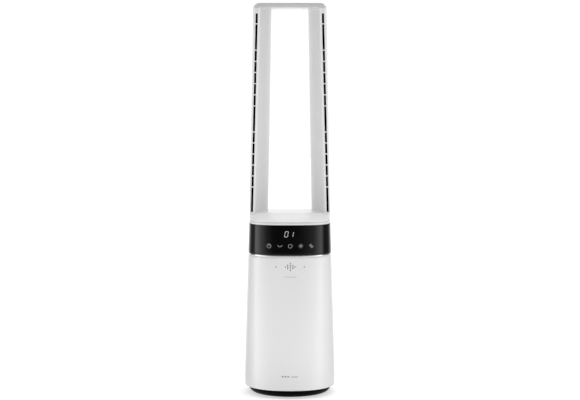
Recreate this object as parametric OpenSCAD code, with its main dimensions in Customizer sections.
// Bladeless tower fan heater: a round tapered fan body on a low swivel base,
// a gloss control band, and a tall open air loop with a long outlet slot
// down the front of each column. Millimetres, +Z up, front faces -Y.
// Origin: centre of the footprint, on the floor.

/* [Body] */
// Half width of the body just above the floor edge
foot_a = 109.4; // [107.5:0.1:110]
// Half width of the body at the top of the control band
band_a = 98; // [97.6:0.1:99]
// Height of the skirt edge above the floor
skirt_z = 19; // [18.5:0.1:20]
// Wall thickness of the body shells
wall = 2.6; // [2.2:0.1:3]
// Roundness exponent of the body at the foot, 2 is a circle
foot_n = 2.2; // [2.1:0.1:2.4]
// Roundness exponent of the body at the control band
band_n = 3.2; // [3:0.1:3.3]

/* [Air loop] */
// Top of the loop above the floor
loop_top = 937; // [925:1:950]
// Thickness of the top bar
bar_t = 11.5; // [10:0.5:14]
// Sideways lean of each column from its foot to its top
lean = 9.3; // [8.5:0.1:10]
// Width of the outlet slot
slot_w = 4.1; // [3:0.1:4.3]
// Wall thickness of the loop shells
loop_wall = 2.4; // [2:0.1:2.8]
// Height of a rib across the outlet slot
rib_t = 2.4; // [1.5:0.1:3]

/* [Intake cover] */
// Half width of the removable intake cover
cover_w = 69; // [60:1:72]
// Lower edge of the intake cover
cover_z0 = 72; // [70:1:80]
// Upper edge of the intake cover
cover_z1 = 298; // [260:2:300]
// Rows of air slits in the intake cover
slit_rows = 19; // [14:1:20]

/* [Swing drive] */
// Gear module
gear_m = 1.5; // [1.5:0.5:1.5]
// Teeth on the fixed gear in the base
gear_teeth = 60; // [60:30:60]
// Teeth on the driving pinion
pinion_teeth = 15; // [15:5:15]
// Number of bearing balls
ball_count = 18; // [12:2:20]

/* [Fan] */
// Number of impeller blades
blade_count = 11; // [7:1:13]
// Outer radius of the impeller
impeller_r = 64; // [60:1:68]

/* [Hidden] */
$fn = 64;
SEG = 72;
band_z0 = 342;
band_z1 = 413.3;
shell_top = 337.2;
base_plane = 438;
bar_z = loop_top - bar_t;
gear_r = gear_m * gear_teeth / 2;
pinion_r = gear_m * pinion_teeth / 2;
pinion_y = gear_r + pinion_r + 0.1;
ball_r = 3;
ball_ring = 78.2;
ball_z = 19;
plunger_x = -58;
pivot_y = 103.4;
hinge_y = 107;
pivot_z = 48;
slot_c0 = 90.65;
slot_c1 = 77.9;

// ---- plan outlines ----
function n_at(z) = foot_n + (band_n - foot_n) * (z - 19) / 394;
function a_at(z) = band_a + (413 - z) * (foot_a - band_a) / 372;
function se_r(a, n, th) = 1 / pow(pow(abs(cos(th)) / a, n) + pow(abs(sin(th)) / a, n), 1 / n);
function se_ring(a, n) = [for (i = [0:SEG - 1]) let (th = 360 * i / SEG) se_r(a, n, th) * [cos(th), sin(th)]];
function rev(v) = [for (i = [len(v) - 1:-1:0]) v[i]];
function mirx(v) = rev([for (p = v) [-p.x, p.y]]);

// Closed solid through equal-length counter-clockwise rings
module loft(rings, zs) {
  n = len(rings[0]);
  m = len(rings);
  pts = [for (k = [0:m - 1]) for (p = rings[k]) [p.x, p.y, zs[k]]];
  low = [[for (i = [0:n - 1]) i]];
  high = [[for (i = [n - 1:-1:0]) (m - 1) * n + i]];
  side1 = [for (k = [0:m - 2]) for (i = [0:n - 1]) let (j = (i + 1) % n) [k * n + i, (k + 1) * n + i, (k + 1) * n + j]];
  side2 = [for (k = [0:m - 2]) for (i = [0:n - 1]) let (j = (i + 1) % n) [k * n + i, (k + 1) * n + j, k * n + j]];
  polyhedron(points = pts, faces = concat(low, side1, side2, high));
}
// Body outer surface, with its turned-in foot and shoulder
module body_out(z0 = skirt_z, z1 = shell_top) {
  zs = [skirt_z, 21, 26, 41, 324, 331, 335, shell_top];
  as = [foot_a - 1.8, foot_a - 0.8, foot_a - 0.2, a_at(41), a_at(324), a_at(331) - 0.3, a_at(335) - 1, a_at(shell_top) - 1.9];
  loft([for (i = [0:7]) se_ring(as[i], n_at(zs[i]))], zs);
}
module body_in(d, z0, z1) {
  loft([se_ring(a_at(z0) - d - (z0 < 30 ? 1 : 0), n_at(z0)), se_ring(a_at(60) - d, n_at(60)), se_ring(a_at(z1) - d - (z1 > 330 ? 1.6 : 0), n_at(z1))], [z0, 60, z1]);
}
module prism(ring2, z0, z1) { translate([0, 0, z0]) linear_extrude(height = z1 - z0) polygon(ring2); }
module ring_solid(a0, n0, a1, n1, z0, z1) { loft([se_ring(a0, n0), se_ring(a1, n1)], [z0, z1]); }

// Closed section of [a, z, n] points carried once round the body's plan
module swept(prof) {
  m = len(prof);
  pts = [for (i = [0:SEG - 1]) let (th = 360 * i / SEG) for (q = prof) let (r = se_r(q[0], q[2], th)) [r * cos(th), r * sin(th), q[1]]];
  polyhedron(points = pts, faces = [for (i = [0:SEG - 1]) let (j = (i + 1) % SEG) for (k = [0:m - 1]) let (l = (k + 1) % m)
    each [[i * m + k, i * m + l, j * m + l], [i * m + k, j * m + l, j * m + k]]]);
}

// ---- column sections, right column; t is 0 at the foot and 1 at the top bar ----
function outer_path(t) = let (s = lean * t, c = slot_c0 + (slot_c1 - slot_c0) * t + slot_w / 2)
  [[c, -41.8], [(c + 94.6 - s) / 2, -41.8], [94.6 - s, -40.6], [95.8 - s, -37], [96.4 - s, -30], [96.4 - s, -8], [95.8 - s, 12], [94.2 - s, 30], [91.2 - s, 46], [86.6 - s, 59], [80.5 - s, 68], [73.5 - s, 72.2], [67 - s, 73]];
function inner_path(t) = let (c = slot_c0 + (slot_c1 - slot_c0) * t - slot_w / 2, s = lean * t, e = (90.65 - 77.9 - lean) * t)
  [[c, -42], [c - 2.2, -42.3], [c - 4, -41], [76 - s - e * 0.8, -18], [68.5 - s - e * 0.55, 4], [62.2 - s - e * 0.35, 26], [57.4 - s - e * 0.15, 46], [55 - s, 59], [54.7 - s, 65.5], [56.2 - s, 70.5], [60.5 - s, 72.8], [66.5 - s, 73]];
function unit(v) = v / norm(v);
function dir_at(p, i) = unit(p[min(i + 1, len(p) - 1)] - p[max(i - 1, 0)]);
// Path shifted sideways by d, left of its direction of travel
function shift(p, d) = [for (i = [0:len(p) - 1]) let (u = dir_at(p, i)) p[i] + d * [-u.y, u.x]];
function strip_left(p, d) = concat(p, rev(shift(p, d)));
function strip_right(p, d) = rev(concat(p, rev(shift(p, -d))));
function slot_c(z) = slot_c0 + (slot_c1 - slot_c0) * (z - base_plane) / (bar_z - base_plane);
// Heights of the small ribs that bridge each slot
rib_z = concat([887.5, 825.3], [for (k = [1:5]) 825.3 - 26.4 * k], [631.4], [for (k = [1:5]) 631.4 - 26.25 * k]);

// Inside of the outer wall, drawn by hand round the narrow front lip
function outer_inside(t) = let (p = shift(outer_path(t), loop_wall), s = lean * t, c = slot_c0 + (slot_c1 - slot_c0) * t + slot_w / 2)
  concat([[c, -39.4], [(c + 93.7 - s) / 2, -39.1], [93.6 - s, -37.8], [93.9 - s, -35.5]], [for (k = [4:len(p) - 1]) p[k]]);
module tall_loft(f, z0, z1) { loft([for (k = [0:6]) [for (i = [0:len(f[0]) - 1]) f[0][i] + (f[1][i] - f[0][i]) * k / 6]], [for (k = [0:6]) z0 + (z1 - z0) * k / 6]); }
module outer_shell() {
  color("white") tall_loft([for (t = [0, 1]) concat(outer_path(t), rev(outer_inside(t)))], base_plane, bar_z);
}
module inner_shell() {
  color("white") union() {
    tall_loft([for (t = [0, 1]) strip_right(inner_path(t), loop_wall)], base_plane, bar_z);
    for (z = rib_z) translate([slot_c(z) - slot_w / 2 - 1.6, -41.2, z - rib_t / 2]) cube([slot_w + 1.4, 8, rib_t]);
    translate([slot_c(918) - slot_w / 2 - 1.6, -41.2, 912]) cube([slot_w + 1.3, 8, bar_z - 912.2]);
    translate([slot_c(439) - slot_w / 2 - 1.6, -41.2, base_plane + 0.2]) cube([slot_w + 1.4, 8, 2.3]);
  }
}
function liner_path(t) = let (o = shift(outer_path(t), loop_wall + 1), i = shift(inner_path(t), -(loop_wall + 1)))
  concat([for (k = [4:11]) o[k]], [for (k = [9:-1:3]) i[k]]);
module duct_liner() {
  color("#1a1a1a") tall_loft([for (t = [0, 1]) strip_left(liner_path(t), 1.2)], base_plane + 0.3, bar_z - 0.3);
}
// Hollow of a column in plan
function duct_ring(t) = let (o = shift(outer_path(t), loop_wall + 2.4), i = shift(inner_path(t), -(loop_wall + 2.4)))
  concat([for (k = [4:11]) o[k]], [for (k = [9:-1:3]) i[k]]);
// Whole loop outline in plan, with a straight front edge
function loop_ring(t, d = 0) = let (p = shift(outer_path(t), d), r = [for (k = [3:12]) p[k]], fx = p[3].x - 5)
  concat([for (k = [-12:12]) [fx * k / 12, -42 + d]], [[p[3].x - 1.2, -39.6 + d]], r, [[0, 73 - d]], mirx(r), [[-p[3].x + 1.2, -39.6 + d]]);

// ---- gears ----
function inv_deg(a) = tan(a) * 180 / PI - a;
function half_ang(r, rb, n, slack) = 90 / n - slack + inv_deg(20) - (r > rb ? inv_deg(acos(rb / r)) : 0);
function gear_pts(n, m, slack_mm) = let (rp = m * n / 2, rb = rp * cos(20), ra = rp + 0.8 * m, rf = rp - 1.05 * m, s = slack_mm / rp * 180 / PI, rr = [max(rf + 0.1, min(rb, rp - 0.6 * m)), rp - 0.3 * m, rp + 0.2 * m, rp + 0.55 * m, ra])
  [for (k = [0:n - 1]) let (c = 360 * k / n) each concat(
    [rf * [cos(c - 180 / n), sin(c - 180 / n)], rf * [cos(c - half_ang(rr[0], rb, n, s) - 20 / n), sin(c - half_ang(rr[0], rb, n, s) - 20 / n)]],
    [for (r = rr) let (h = half_ang(r, rb, n, s)) r * [cos(c - h), sin(c - h)]],
    [for (r = rev(rr)) let (h = half_ang(r, rb, n, s)) r * [cos(c + h), sin(c + h)]],
    [rf * [cos(c + half_ang(rr[0], rb, n, s) + 20 / n), sin(c + half_ang(rr[0], rb, n, s) + 20 / n)]])];

module disc(r, z0, z1) { translate([0, 0, z0]) cylinder(r = r, h = z1 - z0); }
module ring(r0, r1, z0, z1) { translate([0, 0, z0]) rotate_extrude() translate([r0, 0]) square([r1 - r0, z1 - z0]); }
module at4(r, a0 = 45) { for (a = [a0:90:a0 + 270]) rotate([0, 0, a]) translate([r, 0, 0]) children(); }
module screw(z0, len, rs, rh, hh, down = true) { translate([0, 0, z0]) union() { cylinder(r = rs, h = len, $fn = 24); translate([0, 0, down ? len : -hh]) cylinder(r = rh, h = hh, $fn = 24); } }

// ---- base ----
module base_cover() {
  color("#141414") difference() {
    union() {
      rotate_extrude() polygon([[10, 1.5], [84.5, 1.5], [87.6, 1.9], [90.3, 3], [92.8, 5], [95, 7.6], [97.1, 10.8], [98.9, 14], [100, 17.2], [97.8, 17.2], [96.7, 14.5], [94.9, 11.6], [92.9, 8.8], [90.8, 6.6], [88.2, 4.9], [85.4, 4.1], [83, 4], [10, 4]]);
      at4(90) disc(3.6, 6.8, 11.5);
      translate([plunger_x, 0, 0]) ring(4.05, 6.5, 1.5, 4.2);
    }
    at4(90) disc(1.3, 7.8, 11.6);
    translate([plunger_x, 0, 0]) disc(4.05, 1, 4.3);
    for (a = [30:60:330]) rotate([0, 0, a]) translate([66, 0, 0]) disc(8.1, 1, 2.3);
    translate([0, 79, 9.6]) rotate([-90, 0, 0]) cylinder(r = 6.05, h = 27);
    translate([0, 95.5, 9.6]) rotate([-90, 0, 0]) cylinder(r = 7, h = 12);
  }
}
module base_weight() {
  color("#6d7074") difference() {
    ring(18, 62, 4, 10);
    translate([plunger_x, 0, 0]) disc(11.5, 3, 11);
    at4(20) disc(3, 3, 11);
  }
}
module base_deck() {
  color("#2a2a2a") difference() {
    ring(10, 93.8, 11.5, 14);
    at4(90) disc(1.6, 11, 15);
    at4(20) disc(1.25, 11, 15);
    translate([plunger_x - 5.2, -10.7, 11]) cube([10.4, 21.4, 4]);
    translate([-16, 62.6, 10]) cube([32, 44, 6]);
  }
}
module rubber_feet() {
  color("#222222") for (a = [30:60:330]) rotate([0, 0, a]) translate([66, 0, 0]) rotate_extrude() polygon([[0, 0], [7, 0], [8, 1], [8, 2.3], [0, 2.3]]);
}
module swing_gear() {
  color("ivory") difference() {
    translate([0, 0, 14]) linear_extrude(height = 6.5) polygon(gear_pts(gear_teeth, gear_m, 0.12));
    disc(25, 13, 21);
    for (a = [0:60:300]) rotate([0, 0, a]) translate([35, 0, 0]) disc(5, 13, 21);
  }
}
module swing_post() {
  color("#c9c9c4") difference() {
    union() { disc(24, 14, 17); disc(16, 17, 44.3); }
    disc(12, 13, 45);
    at4(20) disc(1.4, 13, 18);
  }
}
module post_retainer() { color("#8a8d90") ring(12.5, 23, 44.3, 47.3); }
module race_ring(z0, z1) {
  difference() {
    ring(71.5, 85, z0, z1);
    rotate_extrude() translate([ball_ring, ball_z]) circle(r = 3.1, $fn = 32);
  }
}
module lower_race() { color("#b9bdc0") race_ring(14, 17.6); }
module tip_switch() {
  color("#30343a") translate([plunger_x, 0, 0]) union() {
    translate([-5, -10, 9]) cube([10, 20, 11]);
    translate([-2, -8, 20]) cube([4, 1, 1.6]);
    translate([-2, 7, 20]) cube([4, 1, 1.6]);
  }
}
module cord_gland() {
  color("#101010") translate([0, 0, 9.6]) rotate([-90, 0, 0]) rotate_extrude() polygon([[3.6, 80], [4.3, 80], [4.3, 85.6], [6, 85.6], [6, 95.6], [6.9, 95.6], [6.9, 97.4], [5.2, 99.4], [3.6, 99.4]]);
}
module cord_clamp() {
  color("#2a2a2a") difference() {
    translate([-13, 63.5, 4]) cube([26, 10, 9]);
    translate([0, 62.5, 9.6]) rotate([-90, 0, 0]) cylinder(r = 3.7, h = 12);
  }
}
module base_screws() { color("#9a9ea2") { at4(90) screw(8, 6, 1.3, 2.8, 1.8); at4(20) screw(11.5, 5.5, 1.25, 2.4, 1.8); } }

// ---- bearing and swing drive ----
module bearing_cage() {
  color("ivory") difference() {
    ring(73.2, 83.2, 18.2, 19.8);
    for (i = [0:ball_count - 1]) rotate([0, 0, 360 * i / ball_count]) translate([ball_ring, 0, 0]) disc(3.15, 17, 21);
  }
}
module bearing_balls() { color("#d5d8da") for (i = [0:ball_count - 1]) rotate([0, 0, 360 * i / ball_count]) translate([ball_ring, 0, ball_z]) sphere(r = ball_r, $fn = 32); }
module tip_plunger() {
  color("#d8d4c8") translate([plunger_x, 0, 0]) rotate_extrude() polygon([[0, 0], [3.2, 0], [4, 0.8], [4, 7.3], [6, 7.3], [6, 8.6], [0, 8.6]]);
}
module swing_pinion() {
  color("ivory") translate([0, pinion_y, 0]) difference() {
    union() {
      translate([0, 0, 15]) rotate([0, 0, -90 + 180 / pinion_teeth]) linear_extrude(height = 6.2) polygon(gear_pts(pinion_teeth, gear_m, 0.12));
      disc(5, 21.2, 23.2);
    }
    disc(2.5, 14, 24);
  }
}
module swing_shaft() { translate([0, pinion_y, 0]) disc(2.46, 15.5, 30); }

// ---- tower, lower part ----
module tower_floor() {
  color("#e2e2e0") difference() {
    union() {
      disc(104, 24, 27);
      disc(22, 24, 44);
      for (x = [-56, 56]) for (y = [-42, 34]) translate([x, y, 0]) disc(4, 26, 60);
      for (a = [0:45:315]) rotate([0, 0, a + 22.5]) translate([20, -1, 26]) cube([80, 2, 4]);
    }
    disc(16.05, 23, 45);
    translate([0, pinion_y, 0]) disc(6, 23, 28);
    for (x = [-21, 21]) translate([x, pinion_y, 0]) disc(1.3, 23, 34);
    translate([-26, pinion_y - 19, 27]) cube([52, 38, 5]);
    for (x = [-56, 56]) for (y = [-42, 34]) translate([x, y, 0]) disc(1.3, 50, 61);
    at4(98) disc(1.7, 23, 32);
    at4(98) disc(5.2, 27, 32);
  }
}
module upper_race() { color("#b9bdc0") race_ring(20.4, 24); }
module swing_motor() {
  color("#b4b8bb") difference() {
    translate([0, pinion_y, 0]) union() {
      disc(17.5, 27, 43);
      translate([-25, -6, 27]) cube([50, 12, 1.2]);
      translate([-8, -22, 30]) cube([16, 6, 11]);
      disc(4.5, 24.2, 27);
    }
    for (x = [-21, 21]) translate([x, pinion_y, 0]) disc(1.5, 26, 29);
    swing_shaft_hole();
  }
  color("#b4b8bb") swing_shaft();
}
module swing_shaft_hole() { translate([0, pinion_y, 0]) disc(2.46, 24, 30); }

module front_half() { translate([-130, -130, 0]) cube([260, 142, 400]); }
module rear_half() { translate([-130, 12.15, 0]) cube([260, 130, 400]); }
module boss(a) { rotate([0, 0, a]) difference() { union() { translate([98, 0, 0]) disc(4.8, 27, 46); translate([98, -1.2, 27]) cube([16, 2.4, 19]); } translate([98, 0, 0]) disc(1.3, 26, 42); } }
// Small sensor perforations below the control band
module sensor_holes() {
  for (p = concat([[-32.6, 315], [34.2, 315], [-10.1, 315], [12.4, 315]],
       [for (k = [-1:1]) [-4.9, 315 + 4.2 * k]], [for (k = [-1:1]) [7.3, 315 + 3.6 * k]], [for (k = [-2:2]) [1.2, 315 + 4.2 * k]]))
    translate([p.x, -115, p.y]) rotate([-90, 0, 0]) cylinder(r = 0.85, h = 25, $fn = 16);
}
module front_shell() {
  color("white") union() {
    difference() {
      intersection() { body_out(); front_half(); }
      body_in(wall, skirt_z - 1, shell_top + 1);
      sensor_holes();
    }
    intersection() { union() { boss(225); boss(315); } body_mid(); }
  }
}
module body_mid() { loft([se_ring(a_at(26) - 1.4, n_at(26)), se_ring(a_at(60) - 1.4, n_at(60))], [26, 60]); }
module rear_shell() {
  color("white") union() {
    difference() {
      intersection() { body_out(); rear_half(); }
      body_in(wall, skirt_z - 1, shell_top + 1);
      translate([-cover_w - 0.4, 60, cover_z0 - 0.4]) cube([2 * cover_w + 0.8, 70, cover_z1 - cover_z0 + 2.4]);
      translate([-8.6, 95, pivot_z - 12.1]) cube([17.2, 20, 24.2]);
      translate([-13, 100, cover_z0 - 1.7]) cube([26, 12, 3]);
    }
    intersection() { union() { boss(45); boss(135); } body_mid(); }
  }
}
module tower_screws() {
  color("#9a9ea2") {
    at4(98) translate([0, 0, 22.2]) union() { cylinder(r = 3.2, h = 1.8, $fn = 24); cylinder(r = 1.3, h = 16, $fn = 24); }
    for (x = [-21, 21]) translate([x, pinion_y, 0]) screw(24.5, 3.7, 1.3, 2.6, 1.6);
  }
}
module main_board() {
  color("#1f6b3a") difference() {
    translate([-64, -50, 60]) cube([128, 92, 1.6]);
    for (x = [-56, 56]) for (y = [-42, 34]) translate([x, y, 0]) disc(1.6, 59, 63);
  }
}
module board_parts() {
  color("#22262b") union() {
    translate([-48, -34, 61.6]) cube([26, 22, 18]);
    translate([-14, -36, 61.6]) cube([20, 16, 15]);
    translate([10, -36, 61.6]) cube([20, 16, 15]);
    for (i = [0:2]) translate([-40 + 22 * i, 4, 61.6]) cylinder(r = 8, h = 17);
    translate([26, 0, 61.6]) cube([18, 22, 14]);
    translate([-50, 22, 61.6]) cube([60, 5, 8]);
  }
}
module board_screws() { color("#9a9ea2") for (x = [-56, 56]) for (y = [-42, 34]) translate([x, y, 0]) screw(52, 9.6, 1.3, 2.6, 1.8); }
module chamber_floor() { color("#d8d8d5") difference() { ring(4, 100, 84, 86.4); translate([-14, 78, 83]) cube([28, 40, 5]); } }

// ---- fan ----
module inlet_bell() {
  color("#2b2d30") rotate_extrude() polygon(concat([[90, 253], [90, 255.9], [58, 255.9]], [for (a = [0:15:90]) [49.6 + 3.9 - 3.9 * sin(a) + 4.5 * (1 - sin(a)), 255.9 + 6.1 * (1 - cos(a))]],
    [[47.2, 262]], [for (a = [90:-15:0]) [47.2 + 6.8 * (1 - sin(a)) + 3, 253 + 9 * (1 - cos(a)) * 0.75]], [[58, 253]]));
}
module fan_housing() {
  color("#d8d8d5") rotate_extrude() polygon([[90, 256], [90, 258.8], [79, 258.8], [77.5, 260.5], [77.5, 337.5], [84, 337.5], [84, 340], [75, 340], [75, 256]]);
}
module motor_pod() {
  color("#2b2d30") difference() {
    union() {
      disc(34, 302, 334);
      for (k = [0:8]) rotate([0, 0, 40 * k]) translate([33, -1, 308]) rotate([18, 0, 0]) cube([41.2, 2, 22]);
    }
    disc(31, 304.6, 335);
    disc(8.03, 301, 335);
    for (k = [0:2]) rotate([0, 0, 120 * k + 20]) translate([20, 0, 0]) disc(3, 301, 306);
  }
}
module motor_cap() { color("#b4b8bb") difference() { union() { disc(30.9, 329, 331.6); disc(11, 326, 331.6); } disc(8.03, 325, 330.4); disc(4, 325, 333); for (k = [0:5]) rotate([0, 0, 60 * k]) translate([21, 0, 0]) disc(4, 328, 332); } }
module motor_stator() {
  color("#b87333") difference() {
    union() { ring(26, 30.9, 308, 324); for (k = [0:8]) rotate([0, 0, 40 * k]) { translate([14, -2, 310]) cube([13, 4, 12]); translate([16, -3.6, 309]) cube([9, 7.2, 14]); } ring(13, 15.6, 309, 323); }
    disc(13, 307, 325);
  }
}
module motor_bearings() { color("#d5d8da") { ring(3.03, 8, 302, 306); ring(3.03, 8, 326.2, 330.2); } }
module blade() { translate([36, 0, 0]) rotate([0, 0, 50.5]) rotate_extrude(angle = 79) translate([31.1, 0]) square([1.8, 33.2]); }
module impeller() {
  color("#3a3d42") difference() {
    union() {
      ring(impeller_r - 15, impeller_r, 263.4, 265.4);
      disc(impeller_r, 296.4, 298.6);
      disc(11, 286, 300);
      for (i = [0:blade_count - 1]) rotate([0, 0, 360 * i / blade_count]) translate([0, 0, 264]) blade();
    }
    disc(3, 280, 301);
  }
}
module motor_shaft() { color("#d5d8da") disc(3, 284, 332.5); }
module motor_rotor() { color("#55585c") ring(3, 12.4, 308, 324); }

// ---- heater ----
module heater_deck() {
  color("#c9c9c4") difference() { ring_solid(93, 3, 93, 3, 340, 342.4); translate([-50, -50, 339]) cube([100, 100, 5]); }
}
module heater_frame() {
  color("#e9e4d4") difference() {
    translate([-56, -56, 342.4]) cube([112, 112, 38]);
    translate([-50, -50, 342]) cube([100, 100, 39]);
  }
}
module ptc_elements() { color("#d9d2c0") for (y = [-30, -10, 10, 30]) translate([-49.5, y - 1.4, 349]) cube([99, 2.8, 25]); }
module ptc_fins() {
  color("#b9bdc0") for (y = [-40, -20, 0, 20, 40]) {
    w = abs(y) > 30 ? 17.2 : 17.2;
    for (s = [-1, 1]) translate([-49, y + s * (w / 2 - 0.4) - 0.4, 349]) cube([98, 0.8, 25]);
    for (k = [0:16]) translate([-48.6 + 6 * k, y - w / 2 + 0.4, 349]) cube([0.8, w - 0.8, 25]);
  }
}
module thermal_cutout() { color("#1d1d1f") translate([22, 56, 362]) rotate([-90, 0, 0]) union() { cylinder(r = 8, h = 1.2); cylinder(r = 6, h = 6); } }
module air_manifold() {
  color("#2b2d30") difference() {
    translate([-86, -42, 380.4]) cube([172, 96, 37.6]);
    translate([-84, -40, 383]) cube([168, 92, 36]);
    translate([-50, -40, 379]) cube([100, 90, 10]);
  }
  color("#2b2d30") translate([0, -40, 396]) rotate([-90, 0, 0]) linear_extrude(height = 92) polygon([[0, 0], [26, -21.5], [-26, -21.5]]);
}
module manifold_gasket() { color("#3b3b3b") difference() { translate([-86, -42, 418]) cube([172, 96, 1.2]); translate([-83.5, -39.5, 417]) cube([167, 91, 4]); } }

// ---- control band ----
module trim_ring() { color("#e8eaec") swept([[98.9, 337.4, 3], [98.9, band_z0 - 0.1, 3], [93.6, band_z0 - 0.1, 3], [93.6, 337.4, 3]]); }
module control_band() {
  color("#0c0c0d") swept([[a_at(band_z0) - 0.1, band_z0, n_at(band_z0)], [a_at(band_z1), band_z1, band_n], [a_at(band_z1) - 2.7, band_z1, band_n], [a_at(band_z0) - 2.8, band_z0, n_at(band_z0)]]);
}
module display_board() { color("#1f6b3a") difference() { translate([-66, -81, 349]) cube([132, 1.6, 58]); for (x = [-60, 60]) for (z = [354, 402]) translate([x, -83, z]) rotate([-90, 0, 0]) cylinder(r = 1.6, h = 5); } }
module digit_display() {
  color("#16181b") difference() {
    translate([-17, -93, 381]) cube([34, 12, 21]);
    for (x = [-9, 9]) translate([x, -94, 391.5]) rotate([-90, 0, 0]) linear_extrude(height = 1.6) difference() { square([10, 16], center = true); square([7.4, 13.4], center = true); }
  }
}
module touch_pads() { color("#b87333") for (x = [-50.4, -24.2, 1, 26.6, 51.5]) translate([x, abs(x) > 40 ? -89.4 : -94, 364.5]) rotate([-90, 0, 0]) cylinder(r = 4.5, h = abs(x) > 40 ? 8.4 : 13); }
module collar_ring() {
  color("white") swept([[97.7, band_z1 + 0.1, band_n], [97.7, 417.4, band_n], [97.2, 418.3, band_n], [96.2, 418.6, band_n], [94.6, 418.6, band_n], [94.6, 419.3, band_n], [92.4, 419.3, band_n], [92.4, band_z1 + 0.1, band_n]]);
}

// ---- air loop ----
function foot_ring(a) = [for (p = loop_ring(0)) let (th = atan2(p.y, p.x)) se_r(a, band_n, th) * [cos(th), sin(th)]];
module loop_base() {
  color("white") difference() {
    loft([foot_ring(96.9), foot_ring(97), loop_ring(0)], [419.3, 421.3, base_plane]);
    loft([[for (p = foot_ring(93)) p], [for (p = loop_ring(0, 3)) p]], [419.2, 435.4]);
    prism(duct_ring(0), 430, base_plane + 1);
    prism(mirx(duct_ring(0)), 430, base_plane + 1);
  }
}
module top_bar() {
  color("white") difference() {
    intersection() {
      prism(loop_ring(1), bar_z, loop_top);
      translate([0, 90, bar_z]) rotate([90, 0, 0]) linear_extrude(height = 150) union() {
        translate([-75.6, 0]) square([151.2, bar_t]);
        intersection() { union() { translate([75.6, 0]) circle(r = bar_t, $fn = 96); translate([-75.6, 0]) circle(r = bar_t, $fn = 96); } translate([-100, 0]) square([200, 20]); }
      }
    }
    intersection() {
      prism(loop_ring(1, 2.6), bar_z + 2.4, loop_top - 2.4);
      translate([-77, -60, bar_z]) cube([154, 150, bar_t]);
    }
    prism(duct_ring(1), bar_z - 1, bar_z + 3);
    prism(mirx(duct_ring(1)), bar_z - 1, bar_z + 3);
  }
}
module right_outer_shell() { outer_shell(); }
module left_outer_shell() { mirror([1, 0, 0]) outer_shell(); }
module right_inner_shell() { inner_shell(); }
module left_inner_shell() { mirror([1, 0, 0]) inner_shell(); }
module right_duct_liner() { duct_liner(); }
module left_duct_liner() { mirror([1, 0, 0]) duct_liner(); }

// ---- intake cover, filter and mains switch ----
module cover_block(w, z0, z1) { translate([-w, 40, z0]) cube([2 * w, 90, z1 - z0]); }
module intake_cover() {
  pitch = (cover_z1 - cover_z0 - 24) / slit_rows;
  color("white") union() {
    difference() {
      intersection() { difference() { body_out(); body_in(wall, skirt_z - 1, shell_top + 1); } cover_block(cover_w, cover_z0, cover_z1); }
      for (r = [0:slit_rows - 1]) for (c = [-2:2]) translate([25 * c - 10.5, 60, cover_z0 + 12 + pitch * r + pitch * 0.25]) cube([21, 60, pitch * 0.5]);
    }
    translate([-12, hinge_y, cover_z0]) rotate([0, 90, 0]) cylinder(r = 1.2, h = 24, $fn = 32);
  }
}
module intake_filter() {
  color("#e9ece9") difference() {
    intersection() { body_in(7, cover_z0 - 20, 320); cover_block(cover_w - 5, 88, cover_z1 - 7); }
    body_in(11.5, cover_z0 - 20, 321);
  }
}
module switch_housing() {
  color("#17181a") difference() {
    translate([-8.4, 88, pivot_z - 11.9]) cube([16.8, 20, 23.8]);
    translate([-6.9, 96, pivot_z - 10]) cube([13.8, 20, 20]);
    translate([-10, pivot_y, pivot_z]) rotate([0, 90, 0]) cylinder(r = 1.25, h = 20);
  }
}
module switch_rocker() {
  color("#2b2c2e") translate([0, pivot_y, pivot_z]) rotate([-8, 0, 0]) union() {
    translate([-6.5, 0, 0]) rotate([90, 0, 90]) linear_extrude(height = 13) polygon([[-4, -3], [2.6, -8.7], [4.4, -8.7], [2.7, -3], [2.5, 0], [2.7, 3], [4.4, 8.7], [2.6, 8.7], [-4, 3]]);
    translate([-8.2, 0, 0]) rotate([0, 90, 0]) cylinder(r = 1.2, h = 16.4);
  }
}

base_cover();
base_weight();
base_deck();
rubber_feet();
swing_gear();
swing_post();
post_retainer();
lower_race();
tip_switch();
cord_gland();
cord_clamp();
base_screws();
bearing_cage();
bearing_balls();
tip_plunger();
swing_pinion();
tower_floor();
upper_race();
swing_motor();
front_shell();
rear_shell();
tower_screws();
main_board();
board_parts();
board_screws();
chamber_floor();
inlet_bell();
fan_housing();
motor_pod();
motor_stator();
motor_bearings();
motor_cap();
heater_deck();
heater_frame();
ptc_elements();
ptc_fins();
thermal_cutout();
air_manifold();
manifold_gasket();
trim_ring();
control_band();
display_board();
digit_display();
touch_pads();
collar_ring();
loop_base();
left_outer_shell();
right_outer_shell();
left_inner_shell();
right_inner_shell();
left_duct_liner();
right_duct_liner();
top_bar();
impeller();
motor_shaft();
motor_rotor();
intake_cover();
intake_filter();
switch_rocker();
switch_housing();
